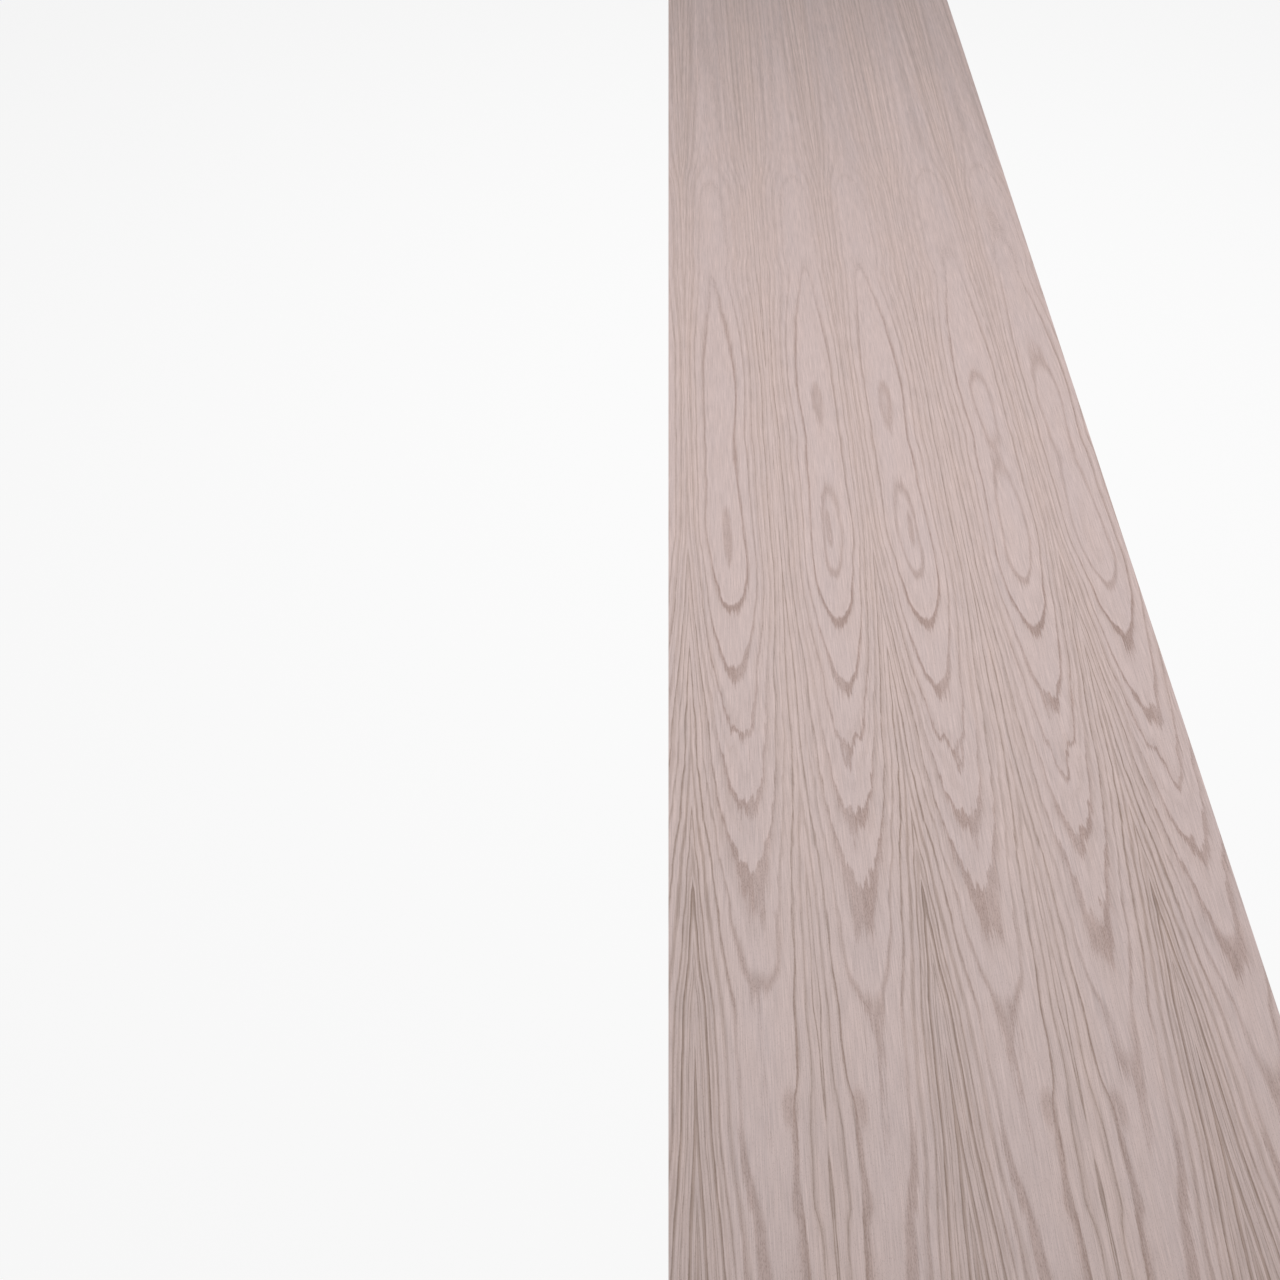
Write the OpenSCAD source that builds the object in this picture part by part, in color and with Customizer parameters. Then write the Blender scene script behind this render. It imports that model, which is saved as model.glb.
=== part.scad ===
// A sheet of flat-cut red oak veneer, book-matched from leaves of one flitch and lying face up.
// The grain runs along Y. X is across the leaves, and Z = 0 is the glue face.

/* [Sheet] */
// Trimmed width, across the grain (24 in)
sheet_w = 609.6; // [580:0.1:620]
// Trimmed length, along the grain (10 ft)
sheet_l = 3048; // [600:1:3660]
// Thickness of the sliced and sanded face (1/40 in)
sheet_t = 0.635; // [0.5:0.005:1.2]

/* [Leaves] */
// Width of a full leaf, clipped straight for splicing on both edges
leaf_w = 122.8; // [118:0.1:124]
// Width of the first leaf, the rest of a leaf that began in the sheet before this one
first_leaf_w = 26; // [20:0.1:40]

/* [Hidden] */
full_leaves = 4;
// Splice lines across the sheet, from one trimmed edge to the other
splices = [0, for (n = [0:full_leaves]) first_leaf_w + n * leaf_w, sheet_w];
// A leaf and its book-matched neighbour come out of the log as opposite faces
open_face = [0.80, 0.72, 0.69];
turned_face = [0.76, 0.68, 0.65];

// One leaf, lying between splice n - 1 and splice n, full length and full thickness
module leaf(n) {
    left = splices[n - 1] - sheet_w / 2;
    width = splices[n] - splices[n - 1];
    color(n % 2 == 1 ? open_face : turned_face)
    translate([left, -sheet_l / 2, 0])
    linear_extrude(sheet_t)
    square([width, sheet_l]);
}

module leaf_1() { leaf(1); }
module leaf_2() { leaf(2); }
module leaf_3() { leaf(3); }
module leaf_4() { leaf(4); }
module leaf_5() { leaf(5); }
module leaf_6() { leaf(6); }

leaf_1();
leaf_2();
leaf_3();
leaf_4();
leaf_5();
leaf_6();
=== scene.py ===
import math

import bpy
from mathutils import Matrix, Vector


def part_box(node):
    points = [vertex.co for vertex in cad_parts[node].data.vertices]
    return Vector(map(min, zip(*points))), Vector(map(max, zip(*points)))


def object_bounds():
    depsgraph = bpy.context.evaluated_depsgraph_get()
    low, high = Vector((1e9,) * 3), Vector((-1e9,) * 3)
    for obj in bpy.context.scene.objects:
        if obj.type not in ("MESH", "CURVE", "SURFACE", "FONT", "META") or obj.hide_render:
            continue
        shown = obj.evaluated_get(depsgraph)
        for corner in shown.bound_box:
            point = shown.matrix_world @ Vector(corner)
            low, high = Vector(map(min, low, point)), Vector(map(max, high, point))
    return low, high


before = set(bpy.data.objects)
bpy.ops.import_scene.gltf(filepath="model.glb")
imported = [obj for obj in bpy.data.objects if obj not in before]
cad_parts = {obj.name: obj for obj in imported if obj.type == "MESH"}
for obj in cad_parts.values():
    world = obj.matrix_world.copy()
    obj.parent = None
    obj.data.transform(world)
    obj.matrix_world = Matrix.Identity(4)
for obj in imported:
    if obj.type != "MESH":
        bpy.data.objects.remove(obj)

cad_low, cad_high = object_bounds()


# Viewpoint
# A person stands just past the near end of the sheet and looks down along the grain with a short lens.
# The sheet's left edge runs straight away from the feet, and its right edge leans in towards it.
PHOTO_SIDE = 1280  # pixels
VANISHING_X = 668.5  # pixel column where the sheet's long edges meet
VANISHING_Y = -849.4  # pixel row where they meet, far above the frame
LENS = 1400  # focal length, in the same pixels
EYE_HEIGHT = 1.274
STEP_BACK = 0.360  # floor between the feet and the near end
SENSOR = 36.0  # millimetres

middle = PHOTO_SIDE / 2
look_down = math.atan((middle - VANISHING_Y) / LENS)
lens = bpy.data.cameras.new("viewpoint")
lens.sensor_width = SENSOR
lens.lens = SENSOR * LENS / PHOTO_SIDE
lens.shift_x = (middle - VANISHING_X) / PHOTO_SIDE
viewpoint = bpy.data.objects.new("viewpoint", lens)
viewpoint.location = (cad_low.x, cad_low.y - STEP_BACK, EYE_HEIGHT)
viewpoint.rotation_euler = (math.pi / 2 - look_down, 0, 0)
bpy.context.collection.objects.link(viewpoint)
bpy.context.scene.camera = viewpoint


# Growth rings of the flitch
# The leaves are shaved one after another off the same half log of red oak, so one set of rings runs
# through them all. Where the knife grazes the crown of the rings they show as cathedrals, and where it
# cuts them steeply, beside the splices, as lines. The curves below were read off the wood, as
# (millimetres from the near end, value).
MM = 1000.0  # the wood is described in millimetres
LENGTH = 3048.0
LEAF_WIDTH = 122.8
# Distance of the crown line from the fan splice.
CROWN_LINE = (
    (0, 76), (90, 74), (240, 69), (340, 66), (540, 64), (690, 61), (790, 56), (890, 54), (965, 54),
    (1040, 51), (1320, 50), (1440, 48), (1590, 46), (1670, 45), (2200, 46), (3048, 48),
)
# Ring count on the crown line.
CROWN_RINGS = (
    (0, 17.1), (85, 16.98), (119, 16.9), (162, 16.62), (190, 16.45), (240, 16.4), (320, 16.42),
    (345, 16.3), (375, 16.0), (500, 15.0), (585, 14.0), (690, 13.0), (790, 12.0), (888, 11.0),
    (930, 10.5), (975, 10.18), (1040, 10.12), (1095, 10.2), (1150, 10.5), (1195, 10.68), (1250, 10.5),
    (1320, 10.33), (1355, 10.4), (1385, 10.6), (1440, 10.82), (1500, 10.93), (1555, 10.98),
    (1620, 11.04), (1650, 11.12), (1690, 11.4), (1760, 11.7), (1930, 12.0), (2060, 13.0),
    (2400, 14.0), (3048, 15.2),
)
# Rings between the crown line and the fan splice, and how sharply they crowd up to it. The other side of
# the crown line, where the lines run in bundles, has its own.
FAN_RINGS = (
    (0, 6.8), (240, 6.0), (440, 5.0), (640, 4.9), (740, 5.5), (900, 5.5), (1040, 4.6), (1200, 3.8),
    (1690, 3.4), (3048, 3.4),
)
FAN_CROWDING = (
    (0, 1.8), (240, 2.1), (740, 2.1), (840, 2.2), (890, 2.3), (930, 2.0), (975, 2.0), (1040, 2.2),
    (1095, 2.1), (1150, 2.45), (1195, 2.75), (1250, 2.35), (1320, 1.97), (1355, 2.0), (1385, 2.3),
    (1440, 2.65), (1500, 2.4), (1555, 2.0), (1600, 1.75), (1650, 1.6), (1750, 2.4), (1900, 2.4),
    (2100, 1.9), (3048, 1.9),
)
BUNDLE_RINGS = (
    (0, 2.1), (119, 2.3), (162, 2.5), (205, 2.65), (247, 2.8), (300, 3.0), (340, 3.4), (440, 3.9),
    (640, 4.5), (740, 5.5), (840, 6.4), (970, 7.0), (1200, 6.5), (1690, 6.4), (2200, 6.0),
    (3048, 4.5),
)
BUNDLE_CROWDING = (
    (0, 3.0), (85, 2.8), (119, 2.2), (162, 1.4), (200, 1.45), (256, 2.3), (300, 2.8), (340, 2.9),
    (440, 2.1), (640, 1.8), (790, 1.85), (890, 2.2), (930, 2.1), (975, 1.9), (1040, 1.82),
    (1095, 1.77), (1150, 1.95), (1195, 2.12), (1250, 1.75), (1320, 1.87), (1355, 2.04), (1385, 2.3),
    (1440, 2.51), (1500, 2.41), (1555, 2.09), (1600, 1.85), (1650, 1.6), (1750, 2.6), (1900, 2.6),
    (2100, 1.9), (3048, 1.9),
)
# Places along the leaf where the wood changes, in millimetres from the near end. Between the two places
# of a pair the change is gradual.
SLICES_MEET = 200  # nearer than this the slices hardly differ
SLICES_PART = 340
FAN_CLEAR_TO = 850  # beyond this the lines beside the fan splice are weaker
FAN_FAINT_FROM = 1020
SMOOTH_TO = 370  # the tips are toothed between these, and smooth and soft nearer and further off
JAGGED_FROM = 480
JAGGED_TO = 650
SMOOTH_FROM = 850
FIRST_ARCH = (790, 860, 930, 1000)  # the arch that shifts least: starts, is whole, is whole, ends
EYES_FROM = 900  # beyond this, among the eyes, the teeth are smaller and the edges softer
EYES_FULLY = 1050
BROAD_TO = 200  # nearer than this the lines under the shoulders of the arches are broad bands
NARROW_FROM = 240
BROAD_RING = 17.0  # the ring count from which they are
THIN_FROM = 300  # nearer than this the lines in the bundle are thin and dark
THIN_TO = 450
EYE_SPOT = (55, 1040)  # the heart of the lowest eye: across, along
EYE_SPOT_SIZE = (3.2, 31)
# Small dimples in the rings: across, along, half width, half length, rings.
DIMPLES = ((54, 660, 6.0, 24, 0.15), (68, 645, 3.0, 20, -0.10))
# Dark smudges: across, along, half width, half length.
SMUDGES = ((90, 226, 5.0, 14),)
WASHED = (43, 262)  # the middle of a place where the lines hardly show: across, along
WASHED_SIZE = (15, 66)
# Random patterns: the size of their cells (across, along) and their swing.
WANDER = ((26, 190), 3.5)  # the grain's own path, in millimetres
RIPPLE = ((5, 45), 1.6)
FINE_TEETH = ((1.3, 45), 0.26)  # in rings
COARSE_TEETH = ((9, 60), 0.80)
FRAYING = ((1.5, 45), 1.4)  # as a share of how far the early wood reaches
DASHES = ((1.2, 16), 1.0)  # as a share of how dark it is
# Year by year, how far through the year the early wood reaches, and how dark it is.
FIRST_YEAR = 9  # ring count at which the list starts
YEARS = (
    (0.20, 0.4), (0.25, 0.75), (0.24, 1.35), (0.34, 0.95), (0.24, 0.9), (0.36, 0.95), (0.58, 0.85),
    (0.42, 0.62), (0.50, 0.88), (0.22, 0.8), (0.50, 0.6), (0.20, 1.1), (0.34, 0.5), (0.20, 1.0),
    (0.60, 0.7), (0.22, 1.2),
)


def feed(tree, socket, value):
    """Links value into socket, or sets it there if it is a plain number."""
    if isinstance(value, bpy.types.NodeSocket):
        tree.links.new(value, socket)
    else:
        socket.default_value = value


def calc(tree, operation, *values):
    """One step of arithmetic on sockets or numbers."""
    step = tree.nodes.new("ShaderNodeMath")
    step.operation = operation
    for socket, value in zip(step.inputs, values):
        feed(tree, socket, value)
    return step.outputs[0]


def between(tree, value, start, end, low=0.0, high=1.0):
    """low where value is at start, high where it is at end, with a soft S-shaped change between them."""
    ramp = tree.nodes.new("ShaderNodeMapRange")
    ramp.interpolation_type = "SMOOTHSTEP"
    for label, number in (("Value", value), ("From Min", start), ("From Max", end),
                          ("To Min", low), ("To Max", high)):
        feed(tree, ramp.inputs[label], number)
    return ramp.outputs["Result"]


def choose(tree, second_wanted, first, second):
    """first where second_wanted is 0, second where it is 1."""
    gap = calc(tree, "SUBTRACT", second, first)
    return calc(tree, "MULTIPLY_ADD", gap, second_wanted, first)


def place(tree, across, along, deep):
    """A point of the wood, from three numbers."""
    point = tree.nodes.new("ShaderNodeCombineXYZ")
    for socket, value in zip(point.inputs, (across, along, deep)):
        feed(tree, socket, value)
    return point.outputs[0]


def drift(tree, across, along, deep, cell, swing, detail=2.0):
    """Smooth random drift of up to about half of swing each way, in cells of (across, along) size."""
    noise = tree.nodes.new("ShaderNodeTexNoise")
    feed(tree, noise.inputs["Vector"], place(
        tree, calc(tree, "DIVIDE", across, cell[0]), calc(tree, "DIVIDE", along, cell[1]), deep))
    noise.inputs["Scale"].default_value = 1.0
    noise.inputs["Detail"].default_value = detail
    return calc(tree, "MULTIPLY_ADD", noise.outputs["Fac"], swing, -swing / 2)


def by_ring(tree, count, scale, detail):
    """Smooth random values, 0 to 1, that change only from ring to ring."""
    noise = tree.nodes.new("ShaderNodeTexNoise")
    noise.noise_dimensions = "1D"
    feed(tree, noise.inputs["W"], count)
    noise.inputs["Scale"].default_value = scale
    noise.inputs["Detail"].default_value = detail
    return noise.outputs["Fac"]


def ellipse(tree, across, along, centre, half_size, outer, inner):
    """1 inside an ellipse and 0 outside it. outer and inner are where the soft edge starts and ends, as
    squared distances from the centre in half sizes."""
    beside = calc(tree, "DIVIDE", calc(tree, "SUBTRACT", across, centre[0]), half_size[0])
    beyond = calc(tree, "DIVIDE", calc(tree, "SUBTRACT", along, centre[1]), half_size[1])
    apart = calc(tree, "MULTIPLY_ADD", beside, beside, calc(tree, "MULTIPLY", beyond, beyond))
    return between(tree, apart, outer, inner)


def follow(tree, along, points):
    """The value at along of a smooth curve through points."""
    top = max(value for distance, value in points) * 1.05
    curve = tree.nodes.new("ShaderNodeFloatCurve")
    line = curve.mapping.curves[0]
    for number, (distance, value) in enumerate(points):
        spot = (distance / LENGTH, value / top)
        if number in (0, len(points) - 1):
            line.points[0 if number == 0 else len(line.points) - 1].location = spot
        else:
            line.points.new(*spot)
    for point in line.points:
        point.handle_type = "AUTO_CLAMPED"
    curve.mapping.update()
    feed(tree, curve.inputs["Value"], calc(tree, "DIVIDE", along, LENGTH))
    return calc(tree, "MULTIPLY", curve.outputs["Value"], top)


def new_group(name, inputs, outputs):
    """An empty shader group with float sockets. Returns it, its inner inputs and its inner outputs."""
    tree = bpy.data.node_groups.new(name, "ShaderNodeTree")
    for label in inputs:
        tree.interface.new_socket(label, in_out="INPUT", socket_type="NodeSocketFloat")
    for label in outputs:
        tree.interface.new_socket(label, in_out="OUTPUT", socket_type="NodeSocketFloat")
    return tree, tree.nodes.new("NodeGroupInput").outputs, tree.nodes.new("NodeGroupOutput").inputs


def use_group(tree, group, **values):
    """Places a group in a material. Underscores in the names of values stand for spaces."""
    node = tree.nodes.new("ShaderNodeGroup")
    node.node_tree = group
    for label, value in values.items():
        feed(tree, node.inputs[label.replace("_", " ")], value)
    return node.outputs


def slice_shift(tree, along, deep, near_splice):
    """How many rings further in a slice cuts: its depth * (1 - t ^ roundness), where t runs from 0 on the
    crown line to 1 on the splice. It is less at the first arch, and hardly anything by the near end."""
    roundness = between(tree, along, JAGGED_TO, SMOOTH_FROM, 1.0, 2.2)
    share = calc(tree, "SUBTRACT", 1.0, calc(tree, "POWER", near_splice, roundness))
    shift = calc(tree, "MULTIPLY", deep, share)
    starts, whole_from, whole_to, ends = FIRST_ARCH
    first_arch = calc(tree, "MULTIPLY", between(tree, along, starts, whole_from),
                      between(tree, along, ends, whole_to))
    shift = calc(tree, "MULTIPLY", shift, calc(tree, "MULTIPLY_ADD", first_arch, -0.5, 1.0))
    return calc(tree, "MULTIPLY", shift, between(tree, along, SLICES_MEET, SLICES_PART, 0.15, 1.0))


def teeth(tree, across, along, slow):
    """Rings by which the tips of the arches are thrown back and forth: fine teeth on coarse waves."""
    jag = calc(tree, "ADD", drift(tree, across, along, slow, *FINE_TEETH),
               drift(tree, across, along, slow, *COARSE_TEETH))
    jag = calc(tree, "MULTIPLY", jag, between(tree, along, JAGGED_TO, SMOOTH_FROM, 1.0, 0.3))
    jag = calc(tree, "MULTIPLY", jag, between(tree, along, SMOOTH_TO, JAGGED_FROM, 0.35, 1.0))
    return calc(tree, "MULTIPLY", jag, between(tree, along, EYES_FROM, EYES_FULLY, 1.0, 0.6))


def dimples_and_eye(tree, across, along, deep):
    """Rings that the dimples add or take away, and those of the lowest eye, which is a ring round its
    heart in the first slices and a slit in the deeper ones."""
    slit = ellipse(tree, across, along, EYE_SPOT, EYE_SPOT_SIZE, 3.0, 0.0)
    around = calc(tree, "SUBTRACT", ellipse(tree, across, along, EYE_SPOT, EYE_SPOT_SIZE, 90.0, 14.0),
                  ellipse(tree, across, along, EYE_SPOT, EYE_SPOT_SIZE, 14.0, 0.0))
    added = choose(tree, between(tree, deep, 0.0, 0.2), calc(tree, "MULTIPLY", around, 0.16),
                   calc(tree, "MULTIPLY", slit, 0.26))
    for x, y, half_width, half_length, height in DIMPLES:
        dimple = ellipse(tree, across, along, (x, y), (half_width, half_length), 3.0, 0.0)
        added = calc(tree, "MULTIPLY_ADD", dimple, height, added)
    return added


def by_year(tree, count):
    """How far through its year the early wood at a ring count reaches, and how dark it is."""
    years = tree.nodes.new("ShaderNodeValToRGB")
    ramp = years.color_ramp
    ramp.interpolation = "CONSTANT"
    for number, (extent, darkness) in enumerate(YEARS):
        spot = number / len(YEARS)
        stop = ramp.elements[0] if number == 0 else ramp.elements.new(spot)
        stop.position = spot
        stop.color = (extent, darkness, 0, 1)
    ramp.elements.remove(ramp.elements[len(ramp.elements) - 1])
    since = calc(tree, "DIVIDE", calc(tree, "SUBTRACT", count, FIRST_YEAR), len(YEARS))
    feed(tree, years.inputs["Fac"], since)
    parts = tree.nodes.new("ShaderNodeSeparateColor")
    feed(tree, parts.inputs[0], years.outputs["Color"])
    return parts.outputs[0], parts.outputs[1]


def near_end_bands(tree, along, near_splice, count, bundle):
    """Two masks for lines near the near end: where they are broad bands, and where thin and dark."""
    wide = calc(tree, "MULTIPLY", between(tree, along, NARROW_FROM, BROAD_TO),
                between(tree, near_splice, 0.55, 0.40))
    wide = calc(tree, "MULTIPLY", wide, calc(tree, "GREATER_THAN", count, BROAD_RING))
    thin = calc(tree, "MULTIPLY", bundle, calc(tree, "SUBTRACT", 1.0, wide))
    thin = calc(tree, "MULTIPLY", thin, between(tree, along, THIN_TO, THIN_FROM))
    return wide, thin


def early_wood(tree, across, along, slow, count, offset, near_splice, wide, thin):
    """How dark the early wood is. Each whole number of the count is the start of a year, and the porous
    early wood begins there, sharply on the heart side, and fades outwards. Beside the splices the years
    are much alike and fade further."""
    extent, darkness = by_year(tree, count)
    extent = calc(tree, "MULTIPLY", extent, between(tree, offset, -30, 15, 0.8, 1.2))
    crowded_extent = calc(tree, "MULTIPLY_ADD", extent, 0.25, 0.38)
    extent = choose(tree, between(tree, near_splice, 0.2, 0.5), extent, crowded_extent)
    frayed = drift(tree, across, along, slow, *FRAYING)
    extent = calc(tree, "MULTIPLY", extent, calc(tree, "ADD", 1.0, frayed))
    extent = calc(tree, "MULTIPLY", extent, calc(tree, "MULTIPLY_ADD", thin, -0.45, 1.0))
    extent = calc(tree, "MULTIPLY", extent, calc(tree, "MULTIPLY_ADD", wide, 0.6, 1.0))
    full_share = between(tree, near_splice, 0.1, 0.5, 0.55, 0.12)
    full_until = calc(tree, "MULTIPLY", extent, choose(tree, wide, full_share, 0.7))
    season = calc(tree, "FRACT", count)
    fade = between(tree, season, extent, full_until)
    soft = calc(tree, "ADD", between(tree, along, JAGGED_FROM, SMOOTH_TO, 0.07, 0.22),
                between(tree, along, EYES_FROM, EYES_FULLY, 0.0, 0.10))
    soft = choose(tree, between(tree, near_splice, 0.2, 0.6), soft, choose(tree, thin, 0.16, 0.05))
    start = between(tree, season, 0.0, soft)
    early = calc(tree, "MULTIPLY", calc(tree, "MULTIPLY", fade, start), darkness)
    early = calc(tree, "MULTIPLY", early, calc(tree, "MULTIPLY_ADD", thin, 0.3, 1.0))
    return calc(tree, "MULTIPLY", early, calc(tree, "MULTIPLY_ADD", wide, -0.25, 1.0))


def uneven_lines(tree, early, across, along, deep, count, near_splice, bundle):
    """The early wood made uneven: faint in the washed place, further off and in some years, dark in the
    smudges, and broken into dashes."""
    washed = ellipse(tree, across, along, WASHED, WASHED_SIZE, 1.6, 0.3)
    early = calc(tree, "MULTIPLY", early, calc(tree, "MULTIPLY_ADD", washed, -0.6, 1.0))
    fan_fades = between(tree, along, FAN_CLEAR_TO, FAN_FAINT_FROM, 1.0, 0.6)
    bundle_fades = between(tree, along, THIN_FROM, THIN_TO, 1.0, 0.74)
    early = calc(tree, "MULTIPLY", early, choose(tree, bundle, fan_fades, bundle_fades))
    for x, y, half_width, half_length in SMUDGES:
        smudge = ellipse(tree, across, along, (x, y), (half_width, half_length), 4.0, 0.0)
        early = calc(tree, "MAXIMUM", early, calc(tree, "MULTIPLY", smudge, 0.55))
    dashes = calc(tree, "MULTIPLY", drift(tree, across, along, deep, *DASHES),
                  between(tree, near_splice, 0.1, 0.4, 0.6, 1.4))
    early = calc(tree, "MULTIPLY", early, calc(tree, "ADD", dashes, 1.0))
    uneven = between(tree, by_ring(tree, count, 0.9, 0.0), 0.35, 0.65, 0.55, 1.1)
    uneven = choose(tree, between(tree, near_splice, 0.3, 0.6), 1.0, uneven)
    return calc(tree, "MULTIPLY", early, uneven)


def growth_rings():
    """The ring count at a point is crown + side * t ^ crowding, less the shift of the slice, where t runs
    from 0 on the crown line to 1 on the splice. Teeth, dimples and an eye are added to it."""
    tree, given, result = new_group(
        "growth rings", ("Across", "Along", "Deep"), ("Early wood", "Steepness", "Fan side", "Lines"))
    across, along, deep = given["Across"], given["Along"], given["Deep"]
    slow = calc(tree, "MULTIPLY", deep, 0.4)  # random patterns change little from slice to slice
    across = calc(tree, "ADD", across, drift(tree, across, along, slow, *WANDER))
    across = calc(tree, "ADD", across, drift(tree, across, along, 7.0, *RIPPLE))
    crown = follow(tree, along, CROWN_LINE)
    offset = calc(tree, "SUBTRACT", across, crown)
    bundle = calc(tree, "GREATER_THAN", offset, 0.0)
    reach = choose(tree, bundle, crown, calc(tree, "SUBTRACT", LEAF_WIDTH, crown))
    near_splice = calc(tree, "DIVIDE", calc(tree, "ABSOLUTE", offset), reach)
    side = choose(tree, bundle, follow(tree, along, FAN_RINGS), follow(tree, along, BUNDLE_RINGS))
    crowding = choose(
        tree, bundle, follow(tree, along, FAN_CROWDING), follow(tree, along, BUNDLE_CROWDING))
    rise = calc(tree, "MULTIPLY", calc(tree, "POWER", near_splice, crowding), side)
    count = calc(tree, "ADD", follow(tree, along, CROWN_RINGS), rise)
    count = calc(tree, "SUBTRACT", count, slice_shift(tree, along, deep, near_splice))
    count = calc(tree, "ADD", count, teeth(tree, across, along, slow))
    count = calc(tree, "ADD", count, dimples_and_eye(tree, across, along, deep))
    wide, thin = near_end_bands(tree, along, near_splice, count, bundle)
    early = early_wood(tree, across, along, slow, count, offset, near_splice, wide, thin)
    early = uneven_lines(tree, early, across, along, deep, count, near_splice, bundle)
    feed(tree, result["Early wood"], early)
    feed(tree, result["Steepness"], near_splice)
    feed(tree, result["Fan side"], calc(tree, "SUBTRACT", 1.0, bundle))
    feed(tree, result["Lines"], between(tree, by_ring(tree, count, 1.9, 2.0), 0.46, 0.66))
    return tree


rings = growth_rings()


# Six leaves
# Each leaf is a 0.6 mm slice of the flitch, clipped straight and glued edge to edge to the next, which
# is turned over like the page of a book. The figure mirrors at every splice, and it creeps along the
# sheet by the little that the rings shift from slice to slice.
LEAVES = ("leaf_1", "leaf_2", "leaf_3", "leaf_4", "leaf_5", "leaf_6")
SLICE_DEPTHS = (-0.20, 0.0, 0.22, 0.26, 0.48, 0.66)  # in rings, on the crown line
# Colours as seen on a screen: the wood between the lines, the lines beside the splices, the patches of
# early wood on the crown, and the pores.
PALE = (203, 183, 179)
LINE = (156, 135, 125)
PATCH = (174, 150, 143)
PORE = (120, 98, 88)
PORE_SHARE = 0.42  # how much of that colour a pore has
PORE_CELL = (0.6, 3.5)  # one pore in each cell: across, along, in millimetres
# How red, green and blue change in soft clouds, beside the splices and in the fine lines.
CLOUD_TINT = (0.04, -0.02, -0.09)
SPLICE_TINT = (0.0, -0.010, -0.024)
LINE_TINT = (0.0, 0.14, 0.28)
# Random patterns: the size of their cells (across, along), their swing, and how finely broken they are.
FIBRE = ((0.9, 40), 1.0, 4.0)
THREAD = ((2.2, 60), 1.0, 2.0)
STREAK = ((3.0, 420), 1.0, 3.0)
BROAD_STREAK = ((7.0, 900), 1.0, 2.0)
CLOUD = ((25, 120), 0.6, 2.0)
RAW_ROUGHNESS = 0.6
RELIEF = 0.00005  # depth of the pores, in metres
RELIEF_SHARE = 0.5  # how strongly the light shows it
FAINT_FROM = 1400  # beyond this the figure is weaker, and broad soft streaks take its place
FAINT_TO = 1750
STREAKED_FULLY = 2600
CROWDED_FROM = 720  # nearer than this the wood beside the splices is darker
CROWDED_FULLY = 420


def paint(red, green, blue):
    """A colour as seen on a screen, 0 to 255, as the linear values that shaders take."""
    def straight(value):
        value /= 255
        return value / 12.92 if value <= 0.04045 else ((value + 0.055) / 1.055) ** 2.4
    return (straight(red), straight(green), straight(blue), 1.0)


# Where the Mix node keeps its colours, because its sockets for numbers and colours share their names
FIRST_COLOUR = 6
SECOND_COLOUR = 7
MIXED_COLOUR = 2


def mix(tree, amount, first, second, blend="MIX"):
    """first where amount is 0 and second where it is 1."""
    node = tree.nodes.new("ShaderNodeMix")
    node.data_type = "RGBA"
    node.blend_type = blend
    feed(tree, node.inputs["Factor"], amount)
    feed(tree, node.inputs[FIRST_COLOUR], first)
    feed(tree, node.inputs[SECOND_COLOUR], second)
    return node.outputs[MIXED_COLOUR]


def open_pores():
    """Short dark grooves where vessels are cut open, dense in the early wood: a dash lies at the middle
    of each cell of a cell pattern stretched along the grain."""
    tree, given, result = new_group("open pores", ("Across", "Along", "Deep", "Early wood"), ("Pores",))
    cells = tree.nodes.new("ShaderNodeTexVoronoi")
    cells.inputs["Scale"].default_value = 1.0
    feed(tree, cells.inputs["Vector"], place(
        tree, calc(tree, "DIVIDE", given["Across"], PORE_CELL[0]),
        calc(tree, "DIVIDE", given["Along"], PORE_CELL[1]), given["Deep"]))
    reach = calc(tree, "MULTIPLY_ADD", given["Early wood"], 0.30, 0.26)
    feed(tree, result["Pores"], between(
        tree, cells.outputs["Distance"], reach, calc(tree, "MULTIPLY", reach, 0.5)))
    return tree


pores = open_pores()


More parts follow.
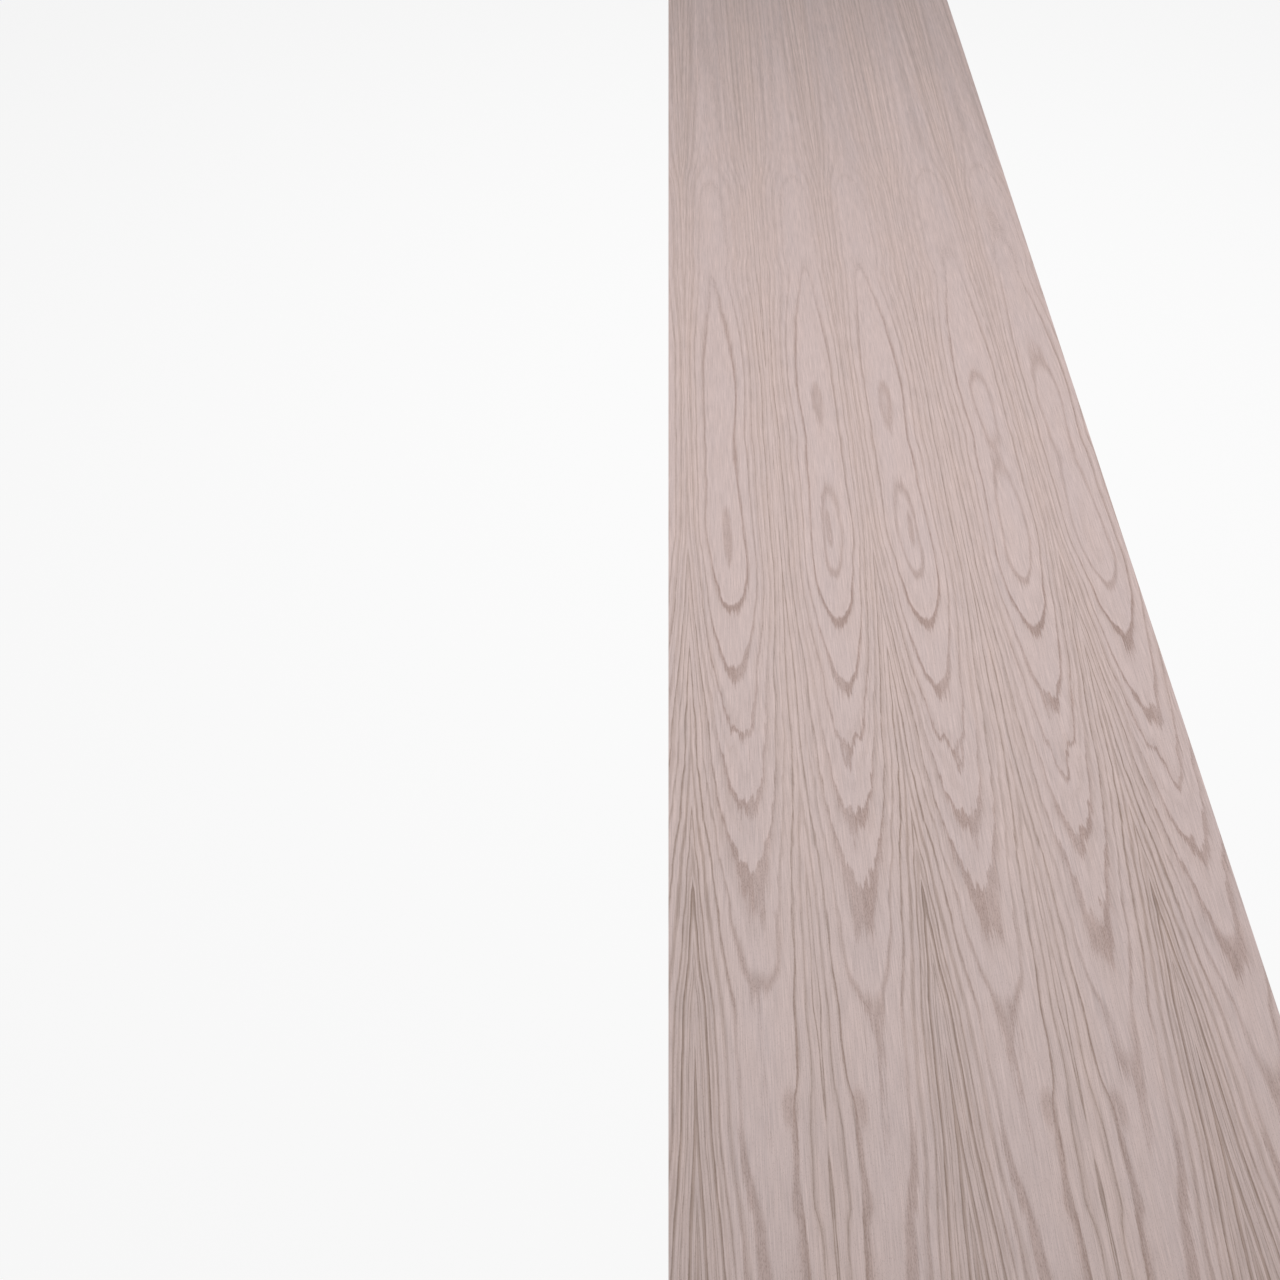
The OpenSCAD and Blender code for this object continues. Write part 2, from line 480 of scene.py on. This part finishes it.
def leaf_finish(name, number):
    """The wood of one leaf, in the leaf's own place in the flitch. The even leaves are turned over, so
    the distance across is taken from the fan splice on their left, and on the right of the others."""
    low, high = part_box(name)
    turned = number % 2 == 0
    splice = low.x if turned else high.x
    material = bpy.data.materials.new(f"red oak {name}")
    material.use_nodes = True
    tree = material.node_tree
    shader = tree.nodes["Principled BSDF"]
    spot = tree.nodes.new("ShaderNodeTexCoord")
    axes = tree.nodes.new("ShaderNodeSeparateXYZ")
    feed(tree, axes.inputs[0], spot.outputs["Object"])
    side = MM if turned else -MM
    across = calc(tree, "MULTIPLY_ADD", axes.outputs["X"], side, -splice * side)
    along = calc(tree, "MULTIPLY_ADD", axes.outputs["Y"], MM, -cad_low.y * MM)
    wood = use_group(tree, rings, Across=across, Along=along, Deep=SLICE_DEPTHS[number - 1])
    vessel = use_group(tree, pores, Across=across, Along=along, Deep=float(number),
                       Early_wood=wood["Early wood"])
    least = between(tree, wood["Steepness"], 0.2, 0.6, 0.05, 0.35)
    clear = between(tree, along, FAINT_TO, FAINT_FROM, least, 1.0)
    fibre = drift(tree, across, along, number * 3.0, *FIBRE)
    streak = drift(tree, across, along, number * 2.0, *STREAK)
    cloud = drift(tree, across, along, number * 1.0, *CLOUD)
    dark = mix(tree, between(tree, wood["Steepness"], 0.3, 0.8), paint(*PATCH), paint(*LINE))
    strength = calc(tree, "MULTIPLY", wood["Early wood"], clear)
    strength = calc(tree, "MULTIPLY", strength, between(tree, wood["Steepness"], 0.6, 0.9, 1.0, 1.1))
    colour = mix(tree, strength, paint(*PALE), dark)
    grey = calc(tree, "MULTIPLY_ADD", fibre, 0.65, 1.0)
    grey = calc(tree, "MULTIPLY_ADD", cloud, 0.1, grey)
    streaky = between(tree, wood["Steepness"], 0.0, 0.6, 0.08, 0.24)
    grey = calc(tree, "MULTIPLY_ADD", streak, streaky, grey)
    thread = drift(tree, across, along, number * 5.0, *THREAD)
    grey = calc(tree, "MULTIPLY_ADD", thread, 0.20, grey)
    broad = drift(tree, across, along, number * 4.0, *BROAD_STREAK)
    streaked = between(tree, along, FAINT_FROM, STREAKED_FULLY, 0.04, 0.60)
    grey = calc(tree, "MULTIPLY_ADD", broad, streaked, grey)
    crowded = calc(tree, "MULTIPLY_ADD", wood["Fan side"], 0.8, 0.2)
    crowded = calc(tree, "MULTIPLY", crowded, between(tree, wood["Steepness"], 0.5, 0.95))
    crowded = calc(tree, "MULTIPLY", crowded, between(tree, along, CROWDED_FROM, CROWDED_FULLY))
    fine = between(tree, wood["Steepness"], 0.1, 0.7, -0.03, -0.08)
    fine = calc(tree, "MULTIPLY", fine, calc(tree, "MULTIPLY_ADD", wood["Fan side"], 0.6, 1.0))
    fine = calc(tree, "MULTIPLY_ADD", crowded, -0.13, fine)
    fine = calc(tree, "MULTIPLY", wood["Lines"], fine)
    grey = calc(tree, "ADD", grey, fine)
    grey = calc(tree, "MULTIPLY_ADD", crowded, -0.05, grey)
    warm = between(tree, wood["Steepness"], 0.2, 0.9)
    shade = tree.nodes.new("ShaderNodeCombineColor")
    for socket, tint, fade, brown in zip(shade.inputs[:3], CLOUD_TINT, SPLICE_TINT, LINE_TINT):
        level = calc(tree, "MULTIPLY_ADD", cloud, tint, grey)
        level = calc(tree, "MULTIPLY_ADD", warm, fade, level)
        feed(tree, socket, calc(tree, "MULTIPLY_ADD", fine, brown, level))
    colour = mix(tree, 1.0, colour, shade.outputs[0], "MULTIPLY")
    colour = mix(tree, calc(tree, "MULTIPLY", vessel["Pores"], PORE_SHARE), colour, paint(*PORE))
    feed(tree, shader.inputs["Base Color"], colour)
    shader.inputs["Roughness"].default_value = RAW_ROUGHNESS
    bump = tree.nodes.new("ShaderNodeBump")
    bump.inputs["Distance"].default_value = RELIEF
    bump.inputs["Strength"].default_value = RELIEF_SHARE
    feed(tree, bump.inputs["Height"], calc(tree, "SUBTRACT", fibre, vessel["Pores"]))
    feed(tree, shader.inputs["Normal"], bump.outputs[0])
    return material


for number, name in enumerate(LEAVES, start=1):
    finish = leaf_finish(name, number)
    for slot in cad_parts[name].material_slots:
        slot.material = finish


# Floor and light
# The sheet lies on a plain white floor in a white room, under one large soft lamp.
FLOOR_SIDE = 40.0
FLOOR_DROP = 0.0002  # under the sheet's back, so that the two faces don't meet
FLOOR_GREY = 0.8  # share of the light that it throws back
FLOOR_GLOW = 0.85  # share of plain white in the floor as it is seen
ROOM_LIGHT = 0.274  # what the room adds to the lamp
ROOM_WHITE = 0.88  # how bright the room itself looks
LAMP_SIDE = 2.0
LAMP_POWER = 40  # watts
LAMP_PLACE = (0, -0.25, 2.1)


def in_view(tree):
    """1 for what the camera sees, also in a mirror or through glass, and 0 for what only gives light."""
    ray = tree.nodes.new("ShaderNodeLightPath")
    seen = calc(tree, "MAXIMUM", ray.outputs["Is Camera Ray"], ray.outputs["Is Glossy Ray"])
    return calc(tree, "MAXIMUM", seen, ray.outputs["Is Transmission Ray"])


floor_mesh = bpy.data.meshes.new("floor")
half = FLOOR_SIDE / 2
corners = [(-half, -half, 0), (half, -half, 0), (half, half, 0), (-half, half, 0)]
floor_mesh.from_pydata(corners, [], [(0, 1, 2, 3)])
floor = bpy.data.objects.new("floor", floor_mesh)
floor.location.z = -FLOOR_DROP
bpy.context.collection.objects.link(floor)
white = bpy.data.materials.new("white floor")
white.use_nodes = True
tree = white.node_tree
tree.nodes.remove(tree.nodes["Principled BSDF"])
matt = tree.nodes.new("ShaderNodeBsdfDiffuse")
matt.inputs["Color"].default_value = (FLOOR_GREY, FLOOR_GREY, FLOOR_GREY, 1)
glow = tree.nodes.new("ShaderNodeEmission")
blend = tree.nodes.new("ShaderNodeMixShader")
feed(tree, blend.inputs[0], calc(tree, "MULTIPLY", in_view(tree), FLOOR_GLOW))
feed(tree, blend.inputs[1], matt.outputs[0])
feed(tree, blend.inputs[2], glow.outputs[0])
feed(tree, tree.nodes["Material Output"].inputs[0], blend.outputs[0])
floor_mesh.materials.append(white)

world = bpy.data.worlds.new("studio")
bpy.context.scene.world = world
world.use_nodes = True
tree = world.node_tree
tree.nodes["Background"].inputs["Color"].default_value = (1, 1, 1, 1)
brightness = choose(tree, in_view(tree), ROOM_LIGHT, ROOM_WHITE)
feed(tree, tree.nodes["Background"].inputs["Strength"], brightness)

lamp_data = bpy.data.lights.new("softbox", "AREA")
lamp_data.shape = "RECTANGLE"
lamp_data.size = LAMP_SIDE
lamp_data.size_y = LAMP_SIDE
lamp_data.energy = LAMP_POWER
lamp = bpy.data.objects.new("softbox", lamp_data)
lamp.location = LAMP_PLACE
bpy.context.collection.objects.link(lamp)

bpy.context.scene.view_settings.view_transform = "Standard"
